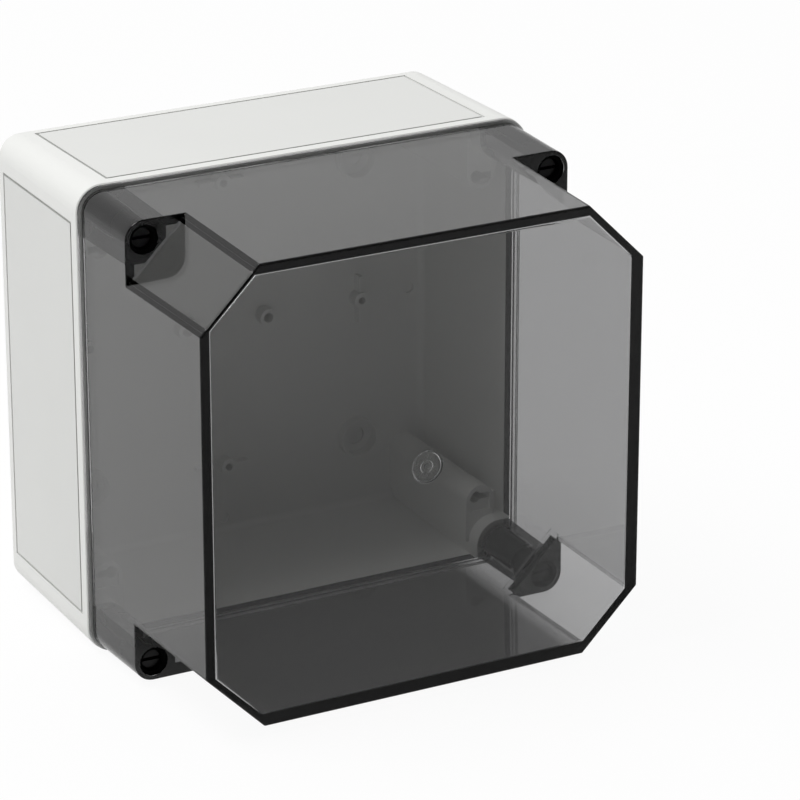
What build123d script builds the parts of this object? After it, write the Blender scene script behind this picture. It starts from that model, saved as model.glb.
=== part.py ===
"""Square wall enclosure with a deep smoke-clear cover.

A light grey moulded base stands against the wall. A tall transparent cover, with its
four front corners cut back to screw steps, presses a rubber seal in the base's rim and
is held by four captive plastic screws, each with its own sealing ring.

Sizes are in millimetres. X is the width, Z is the height, and +Y points to the wall.
Levels are distances in front of the wall face.
"""
from build123d import *
import os
from math import radians, sqrt, tan

# Overall sizes
width = 182.0
height = 180.0
base_depth = 72.4
cover_depth = 92.2
seam_gap = 0.4

# Base shell
base_draft = 0.9
base_wall = 4.6
inner_draft = 1.0
floor_thickness = 3.2
back_edge_radius = 1.5
rim_edge = 0.4
floor_fillet = 2.5
rim_wall = 2.0
ledge_depth = 6.0
post_drop = 0.4
base_post_radius = 9.6

# Shallow groove that frames each outer side
panel_margin = 14.0
panel_rim_margin = 4.8
panel_back_margin = 4.6
groove_width = 1.0
groove_depth = 0.6

# Screws at the corners
screw_inset = 9.6
thread_radius = 2.42
thread_clearance = 0.08
neck_radius = 2.0
neck_clearance = 0.3
head_radius = 3.9
head_clearance = 0.3
head_length = 8.0
head_drop = 3.0
head_edge = 0.4
slot_width = 1.3
slot_depth = 2.4
screw_lift = 8.0
tip_clearance = 6.0
tip_chamfer = 0.8
collar_length = 4.0
shank_bore_radius = 3.0
stop_clearance = 0.2

# Sealing ring under each screw head
ring_thickness = 1.6
ring_clearance = 0.15

# Keyhole lugs beside the base posts
lug_width = 12.0
lug_offset_x = 4.8
lug_offset_z = 16.2
lug_drop = 6.9
web_drop = 12.4
pocket_border = 1.6
pocket_length = 4.3
pocket_depth = 1.0
keyhole_radius = 2.3
keyhole_offset_x = 1.7
keyhole_offset_z = 1.2
keyhole_slot = 2.4
keyhole_reach = 6.1
keyhole_depth = 12.0

# Ribbed screw bosses, rail bosses and round marks on the floor
row_shift = 2.2
boss_pitch = 56.0
boss_radius = 3.1
boss_height = 5.0
boss_hole_radius = 1.5
boss_hole_depth = 6.5
rib_length = 19.0
rib_width = 1.4
rib_height = 3.8
rail_pitch = 15.6
rail_boss_radius = 3.4
rail_hole_radius = 2.0
mark_pitch = 79.0
mark_radius = 2.2
mark_depth = 1.2

# Wall fixing cups with a membrane to pierce
fixing_pitch = 55.8
cup_radius = 8.0
cup_wall = 1.1
cup_height = 3.6
cup_floor = 2.0
pierce_radius = 3.8
membrane = 0.8

# Cover
cover_draft = 1.5
cover_inset = 1.4
cover_wall = 4.2
front_wall = 2.9
step_depth = 56.4
corner_cut = 23.4
cover_post_radius = 9.3
flange_inset = 0.3
flange_height = 1.2
front_edge_radius = 0.9
step_edge_radius = 0.5
inner_edge_radius = 0.8
recess_radius = 5.5
recess_depth = 1.0
gate_radius = 6.0
gate_depth = 0.4
gate_nub_radius = 1.2

# Seal in the rim and the tongue that presses it
tongue_length = 1.8
tongue_clearance = 0.3
seal_clearance = 0.1

# Levels in front of the wall
seam_level = base_depth + seam_gap
front_level = seam_level + cover_depth
step_level = front_level - step_depth
post_level = base_depth - post_drop
ledge_level = base_depth - ledge_depth
tongue_level = seam_level - tongue_length
head_level = step_level - head_drop
ring_level = head_level - head_length
seat_level = ring_level - ring_thickness
collar_level = seat_level - collar_length
thread_top = collar_level - screw_lift - stop_clearance
tip_level = post_level - screw_lift
lug_level = base_depth - lug_drop

# Places that pieces share
screw_x = width / 2 - screw_inset
screw_z = height / 2 - screw_inset
lug_x = screw_x - lug_offset_x
lug_z = screw_z - lug_offset_z
tongue_inset = rim_wall + tongue_clearance
tongue_inner_inset = base_wall - tongue_clearance
cover_inner_inset = cover_inset + cover_wall
corners = {
    "top_left": (-1, 1),
    "top_right": (1, 1),
    "bottom_right": (1, -1),
    "bottom_left": (-1, -1),
}


def level(distance):
    """Plane that faces the viewer, at a distance in front of the wall."""
    origin = (0, front_level / 2 - distance, height / 2)
    return Plane(origin=origin, x_dir=(1, 0, 0), z_dir=(0, -1, 0))


def spread(length, angle):
    """How far a drafted face moves sideways over a length."""
    return length * tan(radians(angle))


def outline(inset, mode=Mode.ADD):
    """The rim's rounded outline, drawn in by an inset, with corners about the screws."""
    RectangleRounded(width - 2 * inset, height - 2 * inset, screw_inset - inset, mode=mode)


def four(x, z):
    """One place in each corner."""
    return GridLocations(2 * x, 2 * z, 2, 2)


def places(pitch):
    """Places to the right, left, top and bottom, on two lines that pass the middle by a shift."""
    return [(pitch, row_shift), (-pitch, row_shift), (-row_shift, pitch), (-row_shift, -pitch)]


def corner_posts(radius, mode=Mode.ADD):
    """Screw posts, round towards the inside and running into both walls."""
    side = 2 * radius + screw_inset
    shift = side / 2 - radius
    with four(screw_x + shift, screw_z + shift):
        RectangleRounded(side, side, radius, mode=mode)


def side_plane(turn):
    """Plane on one drafted outer side, its origin at the rim and +y towards the viewer."""
    outward = Vector(1, 0, 0).rotate(Axis.Y, -turn)
    along = Vector(0, 0, 1).rotate(Axis.Y, -turn)
    reach = width / 2 if abs(outward.X) > 0.5 else height / 2
    rim_point = level(base_depth).origin + outward * reach
    normal = outward + Vector(0, 1, 0) * tan(radians(base_draft))
    return Plane(origin=rim_point, x_dir=along, z_dir=normal)


def narrow(part, distance, angle):
    """Draft the sides of a block: it narrows towards the viewer, and keeps its size at a level."""
    draft(part.faces() - part.faces().filter_by(Axis.Y), level(distance), angle)


def stepped_block(inset, step, front, front_radius, outside):
    """Drafted block in front of the seam, with its four corners cut back to a step.

    The outside is rounded at all its edges, and the hollow only round its front.
    """
    root = step - 2 * step_edge_radius
    root_inset = inset + spread(root - seam_level, cover_draft)
    cut = corner_cut - (inset - cover_inset) * (2 - sqrt(2))
    with BuildPart() as block:
        with BuildSketch(level(seam_level)):
            outline(inset)
        extrude(amount=step - seam_level)
        narrow(block, seam_level, cover_draft)
        if outside:
            fillet(block.faces().sort_by(Axis.Y)[0].edges(), step_edge_radius)
    with BuildPart() as dome:
        with BuildSketch(level(root)):
            side = Rectangle(width - 2 * root_inset, height - 2 * root_inset)
            chamfer(side.vertices(), cut)
        extrude(amount=front - root)
        narrow(dome, root, cover_draft)
        rounded = dome.faces().sort_by(Axis.Y)[0].edges()
        if outside:
            rounded = dome.edges() - dome.faces().sort_by(Axis.Y)[-1].edges()
        fillet(rounded, front_radius)
        add(block.part)
    return dome.part


os.makedirs("parts", exist_ok=True)

# Hollow of the base: the space inside the walls, less the corner posts and the lugs
with BuildPart() as hollow:
    with BuildSketch(level(floor_thickness)):
        outline(base_wall)
    extrude(amount=ledge_level - floor_thickness)
    narrow(hollow, ledge_level, -inner_draft)
    with BuildSketch(level(floor_thickness)):
        corner_posts(base_post_radius)
    extrude(amount=ledge_level - floor_thickness, mode=Mode.SUBTRACT)
    with BuildSketch(level(floor_thickness)):
        with four(lug_x, lug_z):
            Circle(lug_width / 2)
        with four(lug_x, (lug_z + screw_z) / 2):
            Rectangle(lug_width, screw_z - lug_z)
    extrude(amount=lug_level - floor_thickness, mode=Mode.SUBTRACT)
    with BuildSketch(level(floor_thickness)):
        with four((lug_x + width / 2) / 2, (lug_z + screw_z) / 2):
            Rectangle(width / 2 - lug_x, screw_z - lug_z)
    extrude(amount=base_depth - web_drop - floor_thickness, mode=Mode.SUBTRACT)
    fillet(hollow.faces().sort_by(Axis.Y)[-1].edges().sort_by(SortBy.LENGTH)[-4:], floor_fillet)

# Base shell: a drafted tray with screw posts, a seal channel in its rim and framed sides
with BuildPart() as base:
    with BuildSketch(level(0)):
        outline(0)
    extrude(amount=base_depth)
    narrow(base, base_depth, -base_draft)
    fillet(base.faces().sort_by(Axis.Y)[-1].edges(), back_edge_radius)
    chamfer(base.faces().sort_by(Axis.Y)[0].edges(), rim_edge)
    add(hollow.part, mode=Mode.SUBTRACT)

    # Open rim above the ledge, beside the posts
    with BuildSketch(level(ledge_level)):
        outline(rim_wall)
        corner_posts(base_post_radius, Mode.SUBTRACT)
    extrude(amount=ledge_depth, mode=Mode.SUBTRACT)
    with BuildSketch(level(post_level)):
        outline(rim_wall)
    extrude(amount=post_drop, mode=Mode.SUBTRACT)

    # Seal channel, which passes outside the screw holes
    with BuildSketch(level(ledge_level)):
        outline(rim_wall)
        outline(base_wall, mode=Mode.SUBTRACT)
    extrude(amount=ledge_depth, mode=Mode.SUBTRACT)

    # Screw holes in the posts
    with BuildSketch(level(post_level)):
        with four(screw_x, screw_z):
            Circle(thread_radius + thread_clearance)
    extrude(amount=-(screw_lift + tip_clearance), mode=Mode.SUBTRACT)

    # Keyhole pockets in the lugs
    with BuildSketch(level(lug_level)):
        with four(lug_x, lug_z):
            Circle(lug_width / 2 - pocket_border)
        with four(lug_x, lug_z + pocket_length / 2):
            Rectangle(lug_width - 2 * pocket_border, pocket_length)
    extrude(amount=-pocket_depth, mode=Mode.SUBTRACT)
    with BuildSketch(level(lug_level)):
        with four(lug_x - keyhole_offset_x, lug_z - keyhole_offset_z):
            Circle(keyhole_radius)
        with four(lug_x - keyhole_offset_x + keyhole_reach / 2, lug_z - keyhole_offset_z):
            Rectangle(keyhole_reach, keyhole_slot)
    extrude(amount=-keyhole_depth, mode=Mode.SUBTRACT)

    # Ribbed screw bosses on the floor
    with BuildSketch(level(floor_thickness)):
        with Locations(*places(boss_pitch)):
            Circle(boss_radius)
    extrude(amount=boss_height)
    with BuildSketch(level(floor_thickness)):
        with Locations(*places(boss_pitch)[:2]):
            Rectangle(rib_width, rib_length)
        with Locations(*places(boss_pitch)[2:]):
            Rectangle(rib_length, rib_width)
    extrude(amount=rib_height)
    with BuildSketch(level(floor_thickness + boss_height)):
        with Locations(*places(boss_pitch)):
            Circle(boss_hole_radius)
    extrude(amount=-boss_hole_depth, mode=Mode.SUBTRACT)

    # Two bosses for a rail
    with BuildSketch(level(floor_thickness)):
        with Locations(*places(rail_pitch)[:2]):
            Circle(rail_boss_radius)
    extrude(amount=boss_height)
    with BuildSketch(level(floor_thickness + boss_height)):
        with Locations(*places(rail_pitch)[:2]):
            Circle(rail_hole_radius)
    extrude(amount=-boss_hole_depth, mode=Mode.SUBTRACT)

    # Round marks near the walls
    with BuildSketch(level(floor_thickness)):
        with Locations(*places(mark_pitch)):
            Circle(mark_radius)
    extrude(amount=-mark_depth, mode=Mode.SUBTRACT)

    # Wall fixing cups
    with BuildSketch(level(floor_thickness)):
        with four(fixing_pitch, fixing_pitch):
            Circle(cup_radius)
    extrude(amount=cup_height)
    with BuildSketch(level(cup_floor)):
        with four(fixing_pitch, fixing_pitch):
            Circle(cup_radius - cup_wall)
    extrude(amount=floor_thickness + cup_height - cup_floor, mode=Mode.SUBTRACT)
    with BuildSketch(level(membrane)):
        with four(fixing_pitch, fixing_pitch):
            Circle(pierce_radius)
    extrude(amount=cup_floor - membrane, mode=Mode.SUBTRACT)

    # Groove round a plain panel on each side
    for turn in (0, 90, 180, 270):
        side_length = height if turn % 180 == 0 else width
        panel_width = side_length - 2 * panel_margin
        panel_length = base_depth - panel_rim_margin - panel_back_margin
        with BuildSketch(side_plane(turn)):
            with Locations((0, -panel_rim_margin - panel_length / 2)):
                Rectangle(panel_width, panel_length)
                Rectangle(
                    panel_width - 2 * groove_width,
                    panel_length - 2 * groove_width,
                    mode=Mode.SUBTRACT,
                )
        extrude(amount=-groove_depth, mode=Mode.SUBTRACT)
base.part.label = "base"
export_step(base.part, "parts/base.step")

# Rubber seal that lies on the ledge all round
with BuildPart() as rim_seal:
    with BuildSketch(level(ledge_level)):
        outline(rim_wall + seal_clearance)
        outline(base_wall - seal_clearance, mode=Mode.SUBTRACT)
    extrude(amount=tongue_level - ledge_level)
rim_seal.part.label = "rim_seal"
export_step(rim_seal.part, "parts/rim_seal.step")

# Hollow of the cover: inside the walls and the front, less the screw posts
with BuildPart() as cover_hollow:
    inner_step = step_level - front_wall
    inner_front = front_level - front_wall
    add(stepped_block(cover_inner_inset, inner_step, inner_front, inner_edge_radius, False))
    with BuildSketch(level(seam_level)):
        corner_posts(cover_post_radius)
    extrude(amount=step_level - seam_level, mode=Mode.SUBTRACT)

# Cover: a drafted transparent hood with cut corners, screw posts and a tongue
with BuildPart() as cover:
    add(stepped_block(cover_inset, step_level, front_level, front_edge_radius, True))
    with BuildSketch(level(seam_level)):
        outline(flange_inset)
    extrude(amount=flange_height)
    add(cover_hollow.part, mode=Mode.SUBTRACT)

    # Tongue into the rim channel, and the ends of the posts on the base's posts
    with BuildSketch(level(tongue_level)):
        outline(tongue_inset)
        outline(tongue_inner_inset, mode=Mode.SUBTRACT)
    extrude(amount=seam_level - tongue_level)
    with BuildSketch(level(post_level)):
        corner_posts(cover_post_radius)
        outline(tongue_inset, mode=Mode.INTERSECT)
    extrude(amount=seam_level - post_level)

    # Stepped screw passages through the posts
    with BuildSketch(level(step_level)):
        with four(screw_x, screw_z):
            Circle(recess_radius)
    extrude(amount=-recess_depth, mode=Mode.SUBTRACT)
    with BuildSketch(level(step_level)):
        with four(screw_x, screw_z):
            Circle(head_radius + head_clearance)
    extrude(amount=seat_level - step_level, mode=Mode.SUBTRACT)
    with BuildSketch(level(seat_level)):
        with four(screw_x, screw_z):
            Circle(neck_radius + neck_clearance)
    extrude(amount=-collar_length, mode=Mode.SUBTRACT)
    with BuildSketch(level(collar_level)):
        with four(screw_x, screw_z):
            Circle(shank_bore_radius)
    extrude(amount=post_level - collar_level, mode=Mode.SUBTRACT)

    # Round moulding mark in the middle of the front
    with BuildSketch(level(front_level)):
        Circle(gate_radius)
        Circle(gate_nub_radius, mode=Mode.SUBTRACT)
    extrude(amount=-gate_depth, mode=Mode.SUBTRACT)
cover.part.label = "cover"
export_step(cover.part, "parts/cover.step")

# Captive screws and their sealing rings, one pair in each corner
for corner, (side, rise) in corners.items():
    place = (side * screw_x, rise * screw_z)

    with BuildPart() as screw:
        with BuildSketch(level(ring_level)):
            with Locations(place):
                Circle(head_radius)
        extrude(amount=head_length)
        chamfer(screw.faces().sort_by(Axis.Y)[0].edges(), head_edge)
        with BuildSketch(level(ring_level)):
            with Locations(place):
                Circle(neck_radius)
        extrude(amount=thread_top - ring_level)
        with BuildSketch(level(thread_top)):
            with Locations(place):
                Circle(thread_radius)
        extrude(amount=tip_level - thread_top)
        chamfer(screw.faces().sort_by(Axis.Y)[-1].edges(), tip_chamfer)
        with BuildSketch(level(head_level)):
            with Locations(place):
                Rectangle(2 * head_radius, slot_width)
        extrude(amount=-slot_depth, mode=Mode.SUBTRACT)
    screw.part.label = "cover_screw_" + corner
    export_step(screw.part, "parts/cover_screw_" + corner + ".step")

    with BuildPart() as screw_ring:
        with BuildSketch(level(seat_level)):
            with Locations(place):
                Circle(head_radius - ring_clearance)
                Circle(neck_radius + ring_clearance, mode=Mode.SUBTRACT)
        extrude(amount=ring_thickness)
    screw_ring.part.label = "screw_ring_" + corner
    export_step(screw_ring.part, "parts/screw_ring_" + corner + ".step")
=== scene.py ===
# A square wall enclosure: a light grey moulded base, and a tall smoke-clear cover with cut
# corners, held by four captive plastic screws. The scene is in metres, with X along the
# width, +Z up and +Y towards the wall, and MM turns millimetres into metres.
import math

import bmesh
import bpy
from mathutils import Matrix, Vector


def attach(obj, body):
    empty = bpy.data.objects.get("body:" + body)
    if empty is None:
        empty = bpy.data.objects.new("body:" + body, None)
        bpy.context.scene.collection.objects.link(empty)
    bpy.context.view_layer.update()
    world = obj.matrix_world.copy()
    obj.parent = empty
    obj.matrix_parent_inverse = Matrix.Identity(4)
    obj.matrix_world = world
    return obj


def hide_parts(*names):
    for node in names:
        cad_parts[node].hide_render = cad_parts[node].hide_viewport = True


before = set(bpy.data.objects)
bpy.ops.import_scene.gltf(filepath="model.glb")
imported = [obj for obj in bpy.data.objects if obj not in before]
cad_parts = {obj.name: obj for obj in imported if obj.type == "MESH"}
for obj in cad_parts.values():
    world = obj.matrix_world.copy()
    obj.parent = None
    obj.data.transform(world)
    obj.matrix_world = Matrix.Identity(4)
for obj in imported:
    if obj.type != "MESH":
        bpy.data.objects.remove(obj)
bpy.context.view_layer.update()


# Base: the light grey tray that stands against the wall. It is injection moulded in
# polycarbonate, with a fine eroded grain outside, and a thin groove frames each of its
# four sides so that a plain panel is left inside the border. The groove's floor is
# painted darker, as painted shade.
class Wire:
    """One output of a node. Arithmetic on it adds the Math nodes that it needs."""

    def __init__(self, finish, socket):
        self.finish = finish
        self.socket = socket

    def other(self, name):
        """Another output of the same node."""
        return Wire(self.finish, self.socket.node.outputs[name])

    def __add__(self, other):
        return self.finish.math("ADD", self, other)

    def __sub__(self, other):
        return self.finish.math("SUBTRACT", self, other)

    def __rsub__(self, other):
        return self.finish.math("SUBTRACT", other, self)

    def __mul__(self, other):
        return self.finish.math("MULTIPLY", self, other)

    def __truediv__(self, other):
        return self.finish.math("DIVIDE", self, other)

    def __pow__(self, other):
        return self.finish.math("POWER", self, other)

    def __abs__(self):
        return self.finish.math("ABSOLUTE", self)

    def __gt__(self, other):
        return self.finish.math("GREATER_THAN", self, other)

    def __lt__(self, other):
        return self.finish.math("LESS_THAN", self, other)

    def within(self, low, high):
        """The same value, held between two limits."""
        return self.finish.math("MINIMUM", self.finish.math("MAXIMUM", self, low), high)

    __radd__ = __add__
    __rmul__ = __mul__


class Finish:
    """The nodes of a material, or of the room round the object."""

    def __init__(self, owner):
        self.owner = owner
        owner.use_nodes = True
        self.tree = owner.node_tree
        self.tree.nodes.clear()

    def node(self, kind, settings=None, inputs=None):
        """Adds a node, sets it, fills or links its sockets, and gives its first output."""
        made = self.tree.nodes.new(kind)
        for name, value in (settings or {}).items():
            setattr(made, name, value)
        for name, value in (inputs or {}).items():
            if isinstance(value, Wire):
                self.tree.links.new(value.socket, made.inputs[name])
            else:
                made.inputs[name].default_value = value
        return Wire(self, made.outputs[0]) if made.outputs else None

    def math(self, operation, *values):
        return self.node("ShaderNodeMath", {"operation": operation}, dict(enumerate(values)))

    def place(self):
        """The point on the surface, in metres in the object's own frame."""
        return self.node("ShaderNodeTexCoord").other("Object")

    def split(self, vector):
        """The X, Y and Z of a vector."""
        first = self.node("ShaderNodeSeparateXYZ", inputs={"Vector": vector})
        return first, first.other("Y"), first.other("Z")

    def noise(self, size, detail=2.0, roughness=0.5):
        """Cloudy values about 0.5, with blotches of a size in metres."""
        inputs = {"Vector": self.place(), "Scale": 1 / size}
        inputs |= {"Detail": detail, "Roughness": roughness}
        return self.node("ShaderNodeTexNoise", inputs=inputs)

    def blend(self, factor, low, high):
        """A colour that goes from one to the other."""
        ends = [end if isinstance(end, Wire) else (*end, 1) for end in (low, high)]
        inputs = {"Factor": factor, 6: ends[0], 7: ends[1]}
        return self.node("ShaderNodeMix", {"data_type": "RGBA"}, inputs).other(2)

    def relief(self, height):
        """Bumps from a height in metres."""
        inputs = {"Strength": 1.0, "Distance": 1.0, "Height": height}
        return self.node("ShaderNodeBump", inputs=inputs)

    def solid(self, **inputs):
        """A Principled surface, with each socket named in words joined by underscores."""
        named = {name.replace("_", " "): value for name, value in inputs.items()}
        return self.node("ShaderNodeBsdfPrincipled", inputs=named)

    def close(self, surface, kind="Material", **more):
        """Joins the surface to the output."""
        self.node("ShaderNodeOutput" + kind, inputs={"Surface": surface, **more})


def new_finish(name):
    return Finish(bpy.data.materials.new(name))


def dress(node, finish):
    """Gives a solid of the frame its finish."""
    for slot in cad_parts[node].material_slots:
        slot.material = finish.owner


MM = 0.001
MIDDLE = 90.0 * MM
BASE_BORDER = (0.74, 0.745, 0.725)
BASE_PANEL = (0.655, 0.66, 0.643)
# The groove's colour is painted shade in the recess.
BASE_GROOVE_SHADE = (0.50, 0.505, 0.49)
PANEL_NEAR = 15.0 * MM
PANEL_FAR = 77.8 * MM
PANEL_WIDE = 76.9 * MM
PANEL_HIGH = 75.9 * MM
SIDE_FACE = 89.0 * MM
TOP_FACE = 88.0 * MM
GROOVE = 1.0 * MM

grey = new_finish("base_grey_grained")
x, depth, z = grey.split(grey.place())
across = abs(x)
up = abs(z - MIDDLE)


def in_panel(margin):
    """1 on the part of each side that lies inside its frame, drawn in by a margin."""
    along = (depth > PANEL_NEAR + margin) * (depth < PANEL_FAR - margin)
    lying = (up > TOP_FACE) * (across < PANEL_WIDE - margin)
    standing = (across > SIDE_FACE) * (up < PANEL_HIGH - margin)
    return along * (lying + standing)


panel = in_panel(GROOVE)
# The thin groove is painted darker: painted shade in the recess.
groove_shade = in_panel(0) - panel
cloud = grey.noise(45 * MM, 3.0)
grain = grey.noise(0.5 * MM, 2.0, 0.6)
shade = grey.blend(panel * 0.8 + (cloud - 0.5) * 0.25, BASE_BORDER, BASE_PANEL)
grey.close(
    grey.solid(
        Base_Color=grey.blend(groove_shade, shade, BASE_GROOVE_SHADE),
        Roughness=0.4 + panel * 0.1 + (grain - 0.5) * 0.12,
        Normal=grey.relief(grain * (0.015 * MM)),
    )
)
dress("base", grey)

# Rim seal: a soft black gasket that lies in the base's channel under the cover's tongue.
# It is foamed in place, so its skin is matt and slightly uneven.
SEAL_DARK = (0.010, 0.010, 0.010)
SEAL_PALE = (0.022, 0.022, 0.022)

rubber = new_finish("seal_rubber_foamed")
skin = rubber.noise(1.2 * MM, 3.0)
rubber.close(
    rubber.solid(
        Base_Color=rubber.blend(skin, SEAL_DARK, SEAL_PALE),
        Roughness=0.6 + skin * 0.2,
        Normal=rubber.relief(skin * (0.08 * MM)),
    )
)
dress("rim_seal", rubber)

# Cover: a deep hood moulded in smoke-tinted polycarbonate, which passes about half of the
# light through a side wall of 4.2 mm, and looks black along its edges. The gate left a
# rough ringed mark in the middle of the front, and the screws' passages are painted black,
# as painted shade.
SMOKE_LOSS = 135.0
SMOKE_SKIN = (0.98, 0.98, 0.985, 1)
SMOKE_STRAIGHT = (0.88, 0.88, 0.88, 1)
# Painted shade: the black of the screws' passages.
BORE_SHADE_BLACK = (0.004, 0.004, 0.004, 1)
GATE_PLANE = -81.8 * MM
GATE_RADIUS = 6.4 * MM
GATE_RING = 5.6 * MM
GATE_NUB = 2.4 * MM
GATE_CHIPS = 0.6 * MM
WALL_PLANE = 82.5 * MM
SCREW_X = 81.4 * MM
SCREW_Z = 80.4 * MM
BORE_RADIUS = 5.7 * MM
BORE_FRONT = -25.95 * MM

smoke = new_finish("smoke_clear_polished")
x, depth, z = smoke.split(smoke.place())


def from_axis(aside, above):
    """The distance from an axis that runs towards the wall."""
    return (aside * aside + above * above) ** 0.5


def ridge(radius, half, height):
    """A round ridge about the gate, as a height."""
    off = (from_gate - radius) / half
    return (1 - off * off).within(0, 1) * height


from_gate = from_axis(x, z - MIDDLE)
gate = (depth < GATE_PLANE) * (from_gate < GATE_RADIUS)
chips = smoke.noise(1.6 * MM, 3.0, 0.7) * GATE_CHIPS
rings = ridge(GATE_RING, 0.35 * MM, 0.5 * MM) + ridge(GATE_NUB, 0.3 * MM, 0.2 * MM)
flow = smoke.noise(30 * MM, 1.0)
wipe = smoke.noise(8 * MM, 4.0)
clear = smoke.solid(
    Base_Color=SMOKE_SKIN,
    Roughness=0.008 + wipe * 0.016,
    IOR=1.5,
    Transmission_Weight=1.0,
    Normal=smoke.relief(flow * (0.05 * MM) + gate * (chips + rings)),
)
# Soft light and the light of the lamps go straight through the plastic, and lose a share.
passing = smoke.node("ShaderNodeBsdfTransparent", inputs={"Color": SMOKE_STRAIGHT})
path = smoke.node("ShaderNodeLightPath").other("Is Shadow Ray")
straight = path + path.other("Is Diffuse Ray")
hood = smoke.node("ShaderNodeMixShader", inputs={0: straight, 1: clear, 2: passing})
# The screws' passages get a black diffuse surface: painted shade, so the posts look dark.
from_screw = from_axis(abs(x) - SCREW_X, abs(z - MIDDLE) - SCREW_Z)
bore_shade_mask = (from_screw < BORE_RADIUS) * (depth > BORE_FRONT)
painted_bore_shade = smoke.node("ShaderNodeBsdfDiffuse", inputs={"Color": BORE_SHADE_BLACK})
smoke.close(
    smoke.node("ShaderNodeMixShader", inputs={0: bore_shade_mask, 1: hood, 2: painted_bore_shade}),
    Volume=smoke.node(
        "ShaderNodeVolumeAbsorption", inputs={"Color": (0, 0, 0, 1), "Density": SMOKE_LOSS}
    ),
)

# The hood's form: its four corner faces and its front are thinner than its sides. So its
# solid is copied, and a wider hollow with cut corners is carved out of the copy, in front
# of the steps at the screws.
SEAM = 72.8 * MM
SEAM_WIDE = 85.37 * MM
SEAM_HIGH = 84.37 * MM
CORNER_LEVEL = 107.6 * MM
CORNER_REACH = 108.17 * MM
CORNER_WALL = 2.4 * MM
HOLLOW_BACK = 105.9 * MM
HOLLOW_FRONT = 162.8 * MM
HOLLOW_EDGE = 0.8 * MM
HOLLOW_EDGE_STEPS = 4
MOULD_DRAFT = math.tan(math.radians(1.5))
SAME_POINT = 0.001 * MM
SAME_PLANE = math.radians(0.3)
EDGE_ANGLE = math.radians(30)
WIDE_PLANE = 80 * MM * MM


def as_mesh(name, work):
    """Turns a worked shape into a mesh, and frees it."""
    mesh = bpy.data.meshes.new(name)
    work.to_mesh(mesh)
    work.free()
    return mesh


def as_object(name, mesh):
    """Puts a mesh into the scene."""
    body = bpy.data.objects.new(name, mesh)
    bpy.context.scene.collection.objects.link(body)
    return body


def carve(piece, work):
    """Takes a closed shape away from a piece."""
    cutter = as_object("carving", as_mesh("carving", work))
    cut = piece.modifiers.new("carving", "BOOLEAN")
    cut.operation = "DIFFERENCE"
    cut.object = cutter
    cut.solver = "EXACT"
    bpy.context.view_layer.update()
    seen = piece.evaluated_get(bpy.context.evaluated_depsgraph_get())
    made = bpy.data.meshes.new_from_object(seen)
    piece.modifiers.clear()
    piece.data = made
    bpy.data.objects.remove(cutter)


def hollow_ring(work, distance):
    """The eight corners of the hollow at a distance in front of the wall."""
    wide = SEAM_WIDE - (distance - SEAM) * MOULD_DRAFT
    high = SEAM_HIGH - (distance - SEAM) * MOULD_DRAFT
    reach = CORNER_REACH - CORNER_WALL - (distance - CORNER_LEVEL) * MOULD_DRAFT
    near_side = math.sqrt(2) * reach - wide
    near_top = math.sqrt(2) * reach - high
    spots = [(wide, near_side), (near_top, high), (-near_top, high), (-wide, near_side)]
    spots += [(-x, -z) for x, z in spots]
    return [work.verts.new((x, WALL_PLANE - distance, MIDDLE + z)) for x, z in spots]


def hollow():
    """The hollow as a closed shape, with a rounded edge at its front."""
    work = bmesh.new()
    back = hollow_ring(work, HOLLOW_BACK)
    front = hollow_ring(work, HOLLOW_FRONT)
    work.faces.new(back)
    lid = work.faces.new(front)
    for i in range(8):
        j = (i + 1) % 8
        work.faces.new((back[i], front[i], front[j], back[j]))
    bmesh.ops.recalc_face_normals(work, faces=work.faces)
    bmesh.ops.bevel(
        work,
        geom=list(lid.edges),
        offset=HOLLOW_EDGE,
        segments=HOLLOW_EDGE_STEPS,
        profile=0.5,
        affect="EDGES",
    )
    return work


def smooth_curves(mesh):
    """Shades rounded faces smooth, and leaves each wide plane flat."""
    work = bmesh.new()
    work.from_mesh(mesh)
    seen = set()
    for first in work.faces:
        if first in seen:
            continue
        seen.add(first)
        plane = [first]
        for face in plane:
            for edge in face.edges:
                for other in edge.link_faces:
                    if other not in seen and other.normal.angle(first.normal, 0.0) < SAME_PLANE:
                        seen.add(other)
                        plane.append(other)
        rounded = sum(face.calc_area() for face in plane) < WIDE_PLANE
        for face in plane:
            face.smooth = rounded
    for edge in work.edges:
        edge.smooth = edge.calc_face_angle(0.0) < EDGE_ANGLE
    work.to_mesh(mesh)
    work.free()


work = bmesh.new()
work.from_mesh(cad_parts["cover"].data)
bmesh.ops.remove_doubles(work, verts=work.verts, dist=SAME_POINT)
mesh = as_mesh("smoke_hood", work)
mesh.attributes.remove(mesh.attributes["custom_normal"])
mesh.materials.clear()
mesh.materials.append(smoke.owner)
hood_piece = as_object("smoke_hood", mesh)
carve(hood_piece, hollow())
smooth_curves(hood_piece.data)
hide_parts("cover")
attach(hood_piece, "cover")

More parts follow.
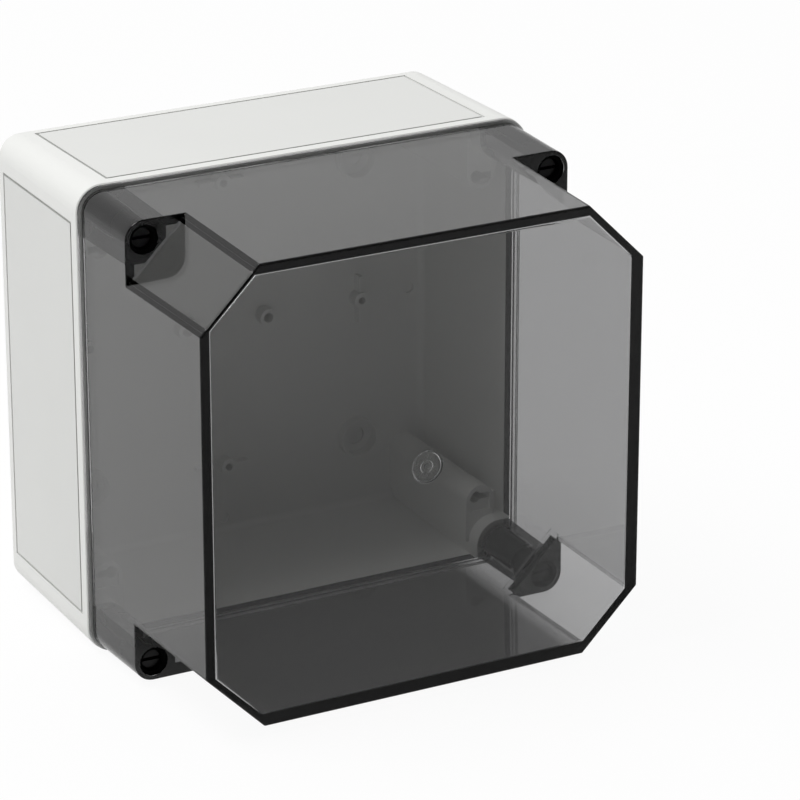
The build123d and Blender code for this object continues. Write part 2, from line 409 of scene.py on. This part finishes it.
# Cover screws: turned home in the corners, in black glass-filled nylon. Each has a plain
# slotted head, a thin neck that keeps it captive in the cover, and a coarse thread.
NYLON_DARK = (0.003, 0.003, 0.0032)
NYLON_PALE = (0.008, 0.008, 0.0084)
HEAD_TOP = 105.6 * MM
RING_TOP = 97.6 * MM
THREAD_TOP = 83.8 * MM
TIP = 64.0 * MM
TIP_RADIUS = 1.5 * MM
HEAD_RADIUS = 3.9 * MM
HEAD_EDGE = 0.4 * MM
HEAD_FOOT_EDGE = 0.2 * MM
NECK_RADIUS = 2.0 * MM
THREAD_RADIUS = 2.42 * MM
THREAD_PITCH = 2.0 * MM
THREAD_DEPTH = 0.42 * MM
THREAD_STEPS = 90
THREAD_CREST = 1.35
THREAD_FLANK = 4
RUN_OUT_TOP = 1.0 * MM
RUN_OUT_TIP = 1.6 * MM
RUN_OUT_DEPTH = 0.35 * MM
SLOT_WIDTH = 1.3 * MM
SLOT_DEPTH = 2.4 * MM
SCREW_EDGE_ANGLE = math.radians(35)
AROUND = 48
CORNERS = {
    "top_left": (-1, 1),
    "top_right": (1, 1),
    "bottom_right": (1, -1),
    "bottom_left": (-1, -1),
}


def on_ring(corner, distance, radius, angle):
    """A point about a corner's screw axis, at a distance in front of the wall."""
    side, rise = CORNERS[corner]
    return (
        side * SCREW_X + radius * math.cos(angle),
        WALL_PLANE - distance,
        MIDDLE + rise * SCREW_Z + radius * math.sin(angle),
    )


def turned(name, corner, profile, closed, finish, shape=None):
    """A body turned about a corner's screw axis, from (distance, radius) pairs."""
    work = bmesh.new()
    rings = []
    for distance, radius in profile:
        ring = []
        for i in range(AROUND):
            angle = 2 * math.pi * i / AROUND
            reach = shape(distance, angle, radius) if shape else radius
            ring.append(work.verts.new(on_ring(corner, distance, reach, angle)))
        rings.append(ring)
    pairs = list(zip(rings, rings[1:]))
    if closed:
        pairs.append((rings[-1], rings[0]))
    else:
        work.faces.new(rings[0])
        work.faces.new(list(reversed(rings[-1])))
    for near, far in pairs:
        for i in range(AROUND):
            j = (i + 1) % AROUND
            work.faces.new((near[i], near[j], far[j], far[i]))
    bmesh.ops.recalc_face_normals(work, faces=work.faces)
    mesh = as_mesh(name, work)
    mesh.materials.append(finish.owner)
    return as_object(name, mesh)


def on_thread(distance, angle, radius):
    """The radius of a single helical thread, which fades out at both of its ends."""
    if radius != THREAD_RADIUS:
        return radius
    phase = (distance / THREAD_PITCH + angle / (2 * math.pi)) % 1
    crest = min(1.0, max(0.0, THREAD_CREST - abs(phase - 0.5) * THREAD_FLANK))
    to_top = (THREAD_TOP - distance) / RUN_OUT_TOP
    to_tip = (distance - TIP) / RUN_OUT_TIP
    fade = max(0.0, min(1.0, to_top, to_tip))
    return radius - THREAD_DEPTH * (1 - crest) * fade - RUN_OUT_DEPTH * (1 - fade)


def cut_slot(screw, corner):
    """Cuts the driver slot across the head."""
    work = bmesh.new()
    size = Matrix.Diagonal((3 * HEAD_RADIUS, 2 * SLOT_DEPTH, SLOT_WIDTH, 1))
    bmesh.ops.create_cube(work, size=1.0, matrix=size)
    bmesh.ops.translate(work, verts=work.verts, vec=on_ring(corner, HEAD_TOP, 0, 0))
    carve(screw, work)


nylon = new_finish("screw_black_nylon")
fibre = nylon.noise(0.6 * MM, 3.0)
nylon.close(
    nylon.solid(
        Base_Color=nylon.blend(fibre, NYLON_DARK, NYLON_PALE),
        Roughness=0.34 + fibre * 0.16,
        Specular_IOR_Level=0.3,
        Normal=nylon.relief(fibre * (0.02 * MM)),
    )
)

thread_step = (THREAD_TOP - TIP) / THREAD_STEPS
screw_profile = [
    (TIP, TIP_RADIUS),
    *[(TIP + thread_step * i, THREAD_RADIUS) for i in range(1, THREAD_STEPS)],
    (THREAD_TOP, NECK_RADIUS),
    (RING_TOP, NECK_RADIUS),
    (RING_TOP, HEAD_RADIUS - HEAD_FOOT_EDGE),
    (RING_TOP + HEAD_FOOT_EDGE, HEAD_RADIUS),
    (HEAD_TOP - HEAD_EDGE, HEAD_RADIUS),
    (HEAD_TOP, HEAD_RADIUS - HEAD_EDGE),
]
for corner in CORNERS:
    screw = turned("captive_screw_" + corner, corner, screw_profile, False, nylon, on_thread)
    cut_slot(screw, corner)
    screw.data.shade_smooth()
    screw.data.set_sharp_from_angle(angle=SCREW_EDGE_ANGLE)
    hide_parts("cover_screw_" + corner)
    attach(screw, "screw_" + corner)

# Sealing rings: soft black rubber washers, with round edges, squeezed under the heads.
# They are moulded, and stay on the screws' necks when the cover is off.
RING_DARK = (0.012, 0.012, 0.012)
RING_PALE = (0.024, 0.024, 0.024)
RING_SEAT = 96.0 * MM
RING_INNER = 2.15 * MM
RING_OUTER = 3.75 * MM
RING_EDGE = 0.5 * MM
RING_EDGE_STEPS = 4

gasket = new_finish("ring_rubber_moulded")
bloom = gasket.noise(1.5 * MM, 2.0)
gasket.close(
    gasket.solid(
        Base_Color=gasket.blend(bloom, RING_DARK, RING_PALE),
        Roughness=0.5 + bloom * 0.15,
        Normal=gasket.relief(bloom * (0.03 * MM)),
    )
)

ring_profile = []
for radius, distance, start in (
    (RING_OUTER - RING_EDGE, RING_SEAT + RING_EDGE, -90),
    (RING_OUTER - RING_EDGE, RING_TOP - RING_EDGE, 0),
    (RING_INNER + RING_EDGE, RING_TOP - RING_EDGE, 90),
    (RING_INNER + RING_EDGE, RING_SEAT + RING_EDGE, 180),
):
    for step in range(RING_EDGE_STEPS + 1):
        turn = math.radians(start + step * 90 / RING_EDGE_STEPS)
        edge_distance = distance + RING_EDGE * math.sin(turn)
        edge_radius = radius + RING_EDGE * math.cos(turn)
        ring_profile.append((edge_distance, edge_radius))
for corner in CORNERS:
    ring = turned("sealing_ring_" + corner, corner, ring_profile, True, gasket)
    ring.data.shade_smooth()
    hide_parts("screw_ring_" + corner)
    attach(ring, "ring_" + corner)

# Floor: a wide white sheet. The camera, gloss and clear plastic see it mostly as plain
# white, but for the shadow under the object, where the clear plastic also sees a share of
# grey cloth as painted shadow. In reflections its front half is grey cloth, a painted dark
# reflection.
FLOOR_REACH = 6.0
FOOT_WIDE = 62 * MM
FOOT_DEEP = 85 * MM
NEAR_FADE = 15 * MM
NEAR_SHARE = 0.68
FAR_FADE = 300 * MM
FAR_SHARE = 0.32
DARK_REFLECTION_EDGE = -120 * MM
DARK_REFLECTION_FADE = 125 * MM
SHADE_CLOTH_SPREAD = 500 * MM
# The grey cloth's colours: painted dark reflection and painted shadow.
SHADE_CLOTH_DARK = (0.28, 0.28, 0.28)
SHADE_CLOTH_PALE = (0.5, 0.5, 0.5)

paper = new_finish("white_paper")
x, depth, z = paper.split(paper.place())
outside_x = (abs(x) - FOOT_WIDE).within(0, FLOOR_REACH)
outside_y = (abs(depth) - FOOT_DEEP).within(0, FLOOR_REACH)
outside = (outside_x * outside_x + outside_y * outside_y) ** 0.5
near = (outside / NEAR_FADE).within(0, NEAR_SHARE)
clear_of_foot = near + (outside / FAR_FADE).within(0, FAR_SHARE)
behind = ((depth - DARK_REFLECTION_EDGE) / DARK_REFLECTION_FADE).within(0, 1)
ray = paper.node("ShaderNodeLightPath")
through = ray.other("Is Transmission Ray")
gloss = ray.other("Is Glossy Ray") * (1 - through)
seen = ray * 0.94 + through * clear_of_foot * 0.9 + gloss * behind * 0.7
# Painted shade: gloss sees the grey cloth on the front half as a painted dark reflection, and
# the clear plastic sees a share of it under the object as a painted shadow.
painted_shade_share = gloss * (1 - behind) + through * (1 - clear_of_foot) * 0.35
sheet = paper.node("ShaderNodeBsdfDiffuse", inputs={"Color": (0.85, 0.85, 0.85, 1)})
glow = paper.node("ShaderNodeEmission", inputs={"Color": (1, 1, 1, 1), "Strength": 1.0})
graded_shade = paper.blend((x / SHADE_CLOTH_SPREAD).within(0, 1), SHADE_CLOTH_DARK, SHADE_CLOTH_PALE)
shade_cloth = paper.node("ShaderNodeBsdfDiffuse", inputs={"Color": graded_shade})
ground = paper.node("ShaderNodeMixShader", inputs={0: painted_shade_share, 1: sheet, 2: shade_cloth})
paper.close(paper.node("ShaderNodeMixShader", inputs={0: seen, 1: ground, 2: glow}))
floor_mesh = bpy.data.meshes.new("floor")
ends = [(-1, -1, 0), (1, -1, 0), (1, 1, 0), (-1, 1, 0)]
floor_mesh.from_pydata([Vector(end) * FLOOR_REACH for end in ends], [], [(0, 1, 2, 3)])
floor_mesh.materials.append(paper.owner)
as_object("floor", floor_mesh)

# Studio: a white room that is dim on the photographer's side, with one large soft lamp
# above to the left. Straight views of the room, and views through the cover, are white.
LAMP_PLACE = Vector((-0.72, 0.15, 1.7))
LAMP_SIZE = 0.8
LAMP_WATTS = 18.5

scene = bpy.context.scene
scene.view_settings.view_transform = "Standard"
scene.cycles.transparent_max_bounces = 32
scene.cycles.transmission_bounces = 16
scene.cycles.max_bounces = 16
scene.world = bpy.data.worlds.new("studio")
room = Finish(scene.world)
towards_wall = room.split(room.node("ShaderNodeTexCoord"))[1]
ray = room.node("ShaderNodeLightPath")
plain = (towards_wall * 0.6 + 0.6) * (1 - 0.28 * ray.other("Is Glossy Ray"))
seen = (ray + ray.other("Is Transmission Ray") + plain).within(0, 1)
bright = room.node("ShaderNodeBackground", inputs={"Color": (1, 1, 1, 1), "Strength": 1.0})
dim = room.node("ShaderNodeBackground", inputs={"Color": (1, 1, 1, 1), "Strength": 0.0})
room.close(room.node("ShaderNodeMixShader", inputs={0: seen, 1: dim, 2: bright}), "World")

light = bpy.data.lights.new("upper_lamp", "AREA")
light.shape = "SQUARE"
light.size = LAMP_SIZE
light.energy = LAMP_WATTS
lamp = as_object("upper_lamp", light)
lamp.location = LAMP_PLACE
aim = Vector((0, 0, MIDDLE)) - LAMP_PLACE
lamp.rotation_euler = aim.to_track_quat("-Z", "Y").to_euler()

# Camera: level with its own horizon and without shift, from the upper left of the front,
# where the photograph was taken.
LOOK_DOWN = 0.3733
LOOK_RIGHT = 0.4921

eye = bpy.data.cameras.new("camera")
eye.sensor_width = 36
eye.lens = 189.76
camera = as_object("camera", eye)
camera.location = (-0.6553, -1.2843, 0.6513)
camera.rotation_euler = (math.pi / 2 - LOOK_DOWN, 0, -LOOK_RIGHT)
scene.camera = camera
